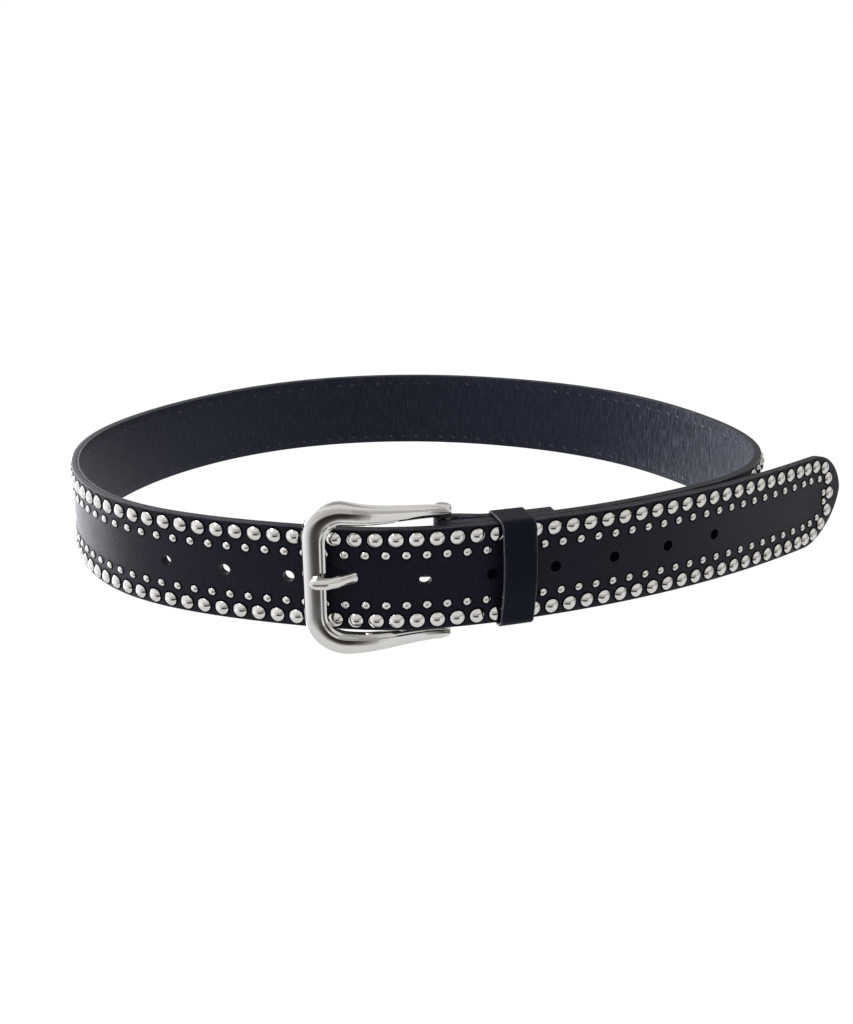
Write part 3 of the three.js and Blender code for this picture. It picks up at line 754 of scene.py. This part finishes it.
def shaped_bar(name, length, section, columns):
    """A straight closed bar along X with one ring of a section at each column."""
    count = len(section)
    bpy.ops.mesh.primitive_cylinder_add(vertices=count, radius=1, depth=length, end_fill_type="NGON")
    bar = bpy.context.object
    bar.rotation_euler = (0, math.pi / 2, 0)
    bar.location = (length / 2, 0, 0)
    fix_place(bar, name)
    for vertex in bar.data.vertices:
        turn = math.atan2(vertex.co.z, vertex.co.y)
        across, deep = section[round(turn / (2 * math.pi) * count) % count]
        vertex.co.y = across
        vertex.co.z = deep
    bpy.ops.object.mode_set(mode="EDIT")
    bpy.ops.mesh.select_mode(type="EDGE")
    bpy.ops.mesh.select_all(action="DESELECT")
    bpy.ops.object.mode_set(mode="OBJECT")
    for edge in bar.data.edges:
        ends = [bar.data.vertices[i].co for i in edge.vertices]
        edge.select = abs(ends[0].x - ends[1].x) > length / 2
    bpy.ops.object.mode_set(mode="EDIT")
    bpy.ops.mesh.subdivide(number_cuts=columns - 1)
    bpy.ops.mesh.select_all(action="SELECT")
    bpy.ops.mesh.normals_make_consistent(inside=False)
    bpy.ops.object.mode_set(mode="OBJECT")
    return bar


def read_off(runs, values, run):
    """Value at a distance, between the two nearest ones."""
    i = next((k for k, r in enumerate(runs) if r > run), len(runs) - 1)
    share = (run - runs[i - 1]) / (runs[i] - runs[i - 1])
    return values[i - 1] + (values[i] - values[i - 1]) * min(max(share, 0), 1)


frame_length = frame_runs[-1]
end_rounding = 4.2 * mm
horseshoe_bar = shaped_bar("buckle_horseshoe", frame_length, frame_section, 96)
for vertex in horseshoe_bar.data.vertices:
    end = min(vertex.co.x, frame_length - vertex.co.x) / (45 * mm)
    depth = end_depth + (frame_depth - end_depth) * min(max(end, 0), 1)
    rounded = min(min(vertex.co.x, frame_length - vertex.co.x) / end_rounding, 1)
    rounded = math.sqrt(max(1 - (1 - rounded) ** 2, 0.06))
    vertex.co.y *= read_off(frame_runs, frame_widths, vertex.co.x) * rounded
    vertex.co.z *= depth
frame_path = helper_line("frame path", frame_knots)
modify(horseshoe_bar, "CURVE", object=frame_path)
horseshoe_bar.rotation_euler = (math.pi / 2, 0, 0)
horseshoe_bar.location = -Vector((plan_centre.x, plan_centre.y, 0))
fix_place(horseshoe_bar, "buckle_horseshoe")
modify(horseshoe_bar, "BEVEL", width=0.25 * mm, segments=2, limit_method="ANGLE",
       angle_limit=math.radians(60))


def bar_point(z):
    """Point of the bar's axis, which leans with the fold."""
    lean = buckle_end.z * (z - buckle_end.w) / strap_width
    return Vector((bar_place.x, bar_place.y, z)) + Vector((buckle_out.x, buckle_out.y, 0)) * lean


def rod(name, low, high, radius, rounding):
    """A round rod along the bar's axis, with rounded ends."""
    foot = bar_point(low)
    head = bar_point(high)
    bpy.ops.mesh.primitive_cylinder_add(vertices=24, radius=radius, depth=(head - foot).length)
    made = bpy.context.object
    made.rotation_euler = (head - foot).to_track_quat("Z", "Y").to_euler()
    made.location = (foot + head) / 2
    fix_place(made, name)
    modify(made, "BEVEL", width=rounding, segments=4, limit_method="ANGLE", angle_limit=math.radians(50))
    return made


hinge_bar = rod("hinge bar", 4.2 * mm, 49 * mm, bar_radius, 0.3 * mm)
top_knob = rod("top knob", 46.0 * mm, 50.7 * mm, 3.3 * mm, 1.3 * mm)
top_knob.location.x = -1.8 * mm
fix_place(top_knob, "top knob")
bottom_knob = rod("bottom knob", 0.7 * mm, 5.4 * mm, 2.4 * mm, 1.1 * mm)
bottom_knob.location = (-1.2 * mm, -1 * mm, 0)
fix_place(bottom_knob, "bottom knob")
buckle = join([horseshoe_bar, hinge_bar, top_knob, bottom_knob], "buckle_horseshoe")
buckle.data.materials.append(nickel)
choose(buckle)
bpy.ops.object.shade_smooth_by_angle(angle=math.radians(24))
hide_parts("buckle_frame")
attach(buckle, "root")

# Prong. A polished tongue with a ridged front. It turns on the bar with an eye inside the fold,
# comes forward through a hole of the free end and lies on the left bar of the frame.
prong_rows = [
    (bar_plan.x - 1, bar_plan.y - 2.6, 26.6, 0.9),
    (-4, 7.6, 26.8, 0.95),
    (-13, 5.8, 27, 1),
    (-21.5, 4.0, 27.3, 1),
    (-26, 0.8, 27.6, 1),
    (-30.2, -3.4, 28, 1),
    (-34, -6, 28.3, 1),
    (-37.6, -6.6, 28.5, 0.96),
    (-39.2, -6.7, 28.6, 0.75),
    (-40, -6.7, 28.6, 0.3),
]
prong_height = 4.3 * mm
prong_depth = 2.5 * mm
prong_section = [
    (0.0, 0.50), (0.20, 0.47), (0.36, 0.38), (0.44, 0.27), (0.38, 0.20), (0.46, 0.14), (0.50, 0.0),
    (0.50, -0.14), (0.44, -0.30), (0.30, -0.44), (0.0, -0.50), (-0.42, -0.40), (-0.50, 0.0), (-0.42, 0.40),
]
prong_line = [Vector((x, y, z)) * mm - plan_centre.xyz for x, y, z, size in prong_rows]
prong_runs = [0]
for before, after in zip(prong_line, prong_line[1:]):
    prong_runs.append(prong_runs[-1] + (after - before).length)
prong_sizes = [size for x, y, z, size in prong_rows]
prong = shaped_bar("buckle_tongue", prong_runs[-1], prong_section, 60)
for vertex in prong.data.vertices:
    size = read_off(prong_runs, prong_sizes, vertex.co.x)
    vertex.co.y *= prong_depth * size
    vertex.co.z *= prong_height * size
prong_path = helper_line("prong path", [(*point, 0) for point in prong_line])
modify(prong, "CURVE", object=prong_path)
modify(prong, "BEVEL", width=0.12 * mm, segments=2, limit_method="ANGLE", angle_limit=math.radians(50))
eye_low = bar_point(24.4 * mm)
eye_high = bar_point(28.8 * mm)
bpy.ops.mesh.primitive_cylinder_add(
    vertices=28, radius=3.2 * mm, depth=(eye_high - eye_low).length, end_fill_type="NOTHING")
prong_eye = bpy.context.object
prong_eye.rotation_euler = (eye_high - eye_low).to_track_quat("Z", "Y").to_euler()
prong_eye.location = (eye_low + eye_high) / 2
fix_place(prong_eye, "prong eye")
modify(prong_eye, "SOLIDIFY", thickness=1.4 * mm, offset=-1)
modify(prong_eye, "BEVEL", width=0.3 * mm, segments=2, limit_method="ANGLE", angle_limit=math.radians(50))
tongue = join([prong, prong_eye], "buckle_tongue")
tongue.data.materials.append(nickel)
choose(tongue)
bpy.ops.object.shade_smooth_by_angle(angle=math.radians(30))
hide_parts("buckle_prong")
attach(tongue, "root")

# Keeper. A stiff band of the same leather, closed into a ring round all three layers. It bulges
# a little in front, and a line is pressed in along both its edges.
keeper_from = 25.3 * mm
keeper_to = 37.9 * mm
keeper_wall = 1.0 * mm
keeper_front = 4.4 * mm
keeper_back = -9.5 * mm
keeper_slack = 0.25 * mm
keeper_crown = 1.7 * mm
keeper_front_radius = 3.5 * mm
keeper_back_radius = 1.5 * mm
keeper_length = keeper_to - keeper_from


def keeper_outline(grow):
    """Closed outline of the ring, seen along the strap: x is outward and y is up the strap."""
    low = -keeper_slack - grow
    high = strap_width + keeper_slack + grow
    front = keeper_front + grow
    back = keeper_back - grow
    points = [Vector((back, strap_width / 2))]
    corners = (
        (back, low, keeper_back_radius, math.pi), (front, low, keeper_front_radius, -math.pi / 2),
        (front, high, keeper_front_radius, 0), (back, high, keeper_back_radius, math.pi / 2))
    for x, y, radius, start in corners:
        centre = Vector((x - math.copysign(radius, x), y + (radius if y < 0 else -radius)))
        for i in range(9):
            turn = start + math.pi / 2 * i / 8
            points.append(centre + radius * Vector((math.cos(turn), math.sin(turn))))
        if x > 0 and y < 0:
            for i in range(1, 16):
                rise = i / 16
                bulge = keeper_crown * math.sin(math.pi * rise) ** 1.2
                straight = high - low - 2 * keeper_front_radius
                points.append(Vector((front + bulge, low + keeper_front_radius + straight * rise)))
    points.append(Vector((back, strap_width / 2)))
    return points


keeper_leather, wire, shader = shader_of("keeper leather")
flat = wire.node("ShaderNodeUVMap", {"uv_map": "flat"}, {})
up = wire.node("ShaderNodeSeparateXYZ", {}, {0: flat}, 1)
grain = wire.node("ShaderNodeTexNoise", {}, {"Vector": flat, "Scale": 0.8, "Detail": 5, "Roughness": 0.6})
pores = wire.node("ShaderNodeTexVoronoi", {}, {"Vector": flat, "Scale": 1.6})
from_line = abs(abs(up) - 4.9)
line = 1 - from_line.between(0.08, 0.32)
relief = grain * 0.7 + pores * 0.4 - line * 2.5
patches = wire.node("ShaderNodeTexNoise", {}, {"Vector": flat, "Scale": 1.2})
chafed = abs(up).between(4.6, 5.9) * patches.between(0.55, 0.66)
colour = mix_colours(grain, (0.0018, 0.0026, 0.0066, 1), (0.0040, 0.0050, 0.0108, 1))
feed(shader, "Base Color", mix_colours(chafed * 0.35, colour, (0.05, 0.055, 0.07, 1)))
feed(shader, "Roughness", grain * 0.15 + 0.40)
feed(shader, "Specular IOR Level", 0.09)
feed(shader, "Specular Tint", (0.72, 0.80, 1, 1))
bumped = wire.node("ShaderNodeBump", {}, {"Strength": 0.25, "Distance": 0.12 * mm, "Height": relief})
feed(shader, "Normal", bumped)

keeper_line = keeper_outline(keeper_wall / 2)
keeper_girth = sum((b - a).length for a, b in zip(keeper_line, keeper_line[1:]))
bpy.ops.mesh.primitive_grid_add(
    x_subdivisions=150, y_subdivisions=12, size=1,
    location=(keeper_girth / 2, keeper_wall / 2, 0), rotation=(math.pi / 2, 0, 0))
band = bpy.context.object
band.scale = (keeper_girth, keeper_length, 1)
fix_place(band, "keeper_band")
for vertex in band.data.vertices:
    vertex.co.y = -keeper_wall / 2
for paint in (keeper_leather, rubbed_and_highlit_edge):
    band.data.materials.append(paint)
modify(band, "SOLIDIFY", thickness=keeper_wall, offset=-1, material_offset_rim=1)
modify(band, "BEVEL", width=0.4 * mm, segments=3, limit_method="ANGLE",
       angle_limit=math.radians(50), use_clamp_overlap=False, material=1)
keep_flat_map(band)
keeper_path = helper_line("keeper path", [(point.x, point.y, 0, 0) for point in keeper_line])
modify(band, "CURVE", object=keeper_path)
bpy.ops.object.mode_set(mode="EDIT")
bpy.ops.mesh.select_all(action="SELECT")
bpy.ops.mesh.remove_doubles(threshold=0.02 * mm)
bpy.ops.object.mode_set(mode="OBJECT")
keeper_point, keeper_out = on_belt(middle + (keeper_from + keeper_to) / 2)
out = keeper_out.xyz.normalized()
rise = Vector((0, 0, 1))
turned = Matrix((out, rise, out.cross(rise))).transposed().to_4x4()
band.matrix_world = Matrix.Translation((keeper_point.x, keeper_point.y, keeper_point.w)) @ turned
fix_place(band, "keeper_band")
bpy.ops.object.shade_smooth_by_angle(angle=math.radians(40))
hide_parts("keeper_loop")
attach(band, "root")

# The helper lines and the punches aren't part of the belt
for helper in (strap_path, frame_path, prong_path, keeper_path, punches):
    bpy.data.objects.remove(helper)
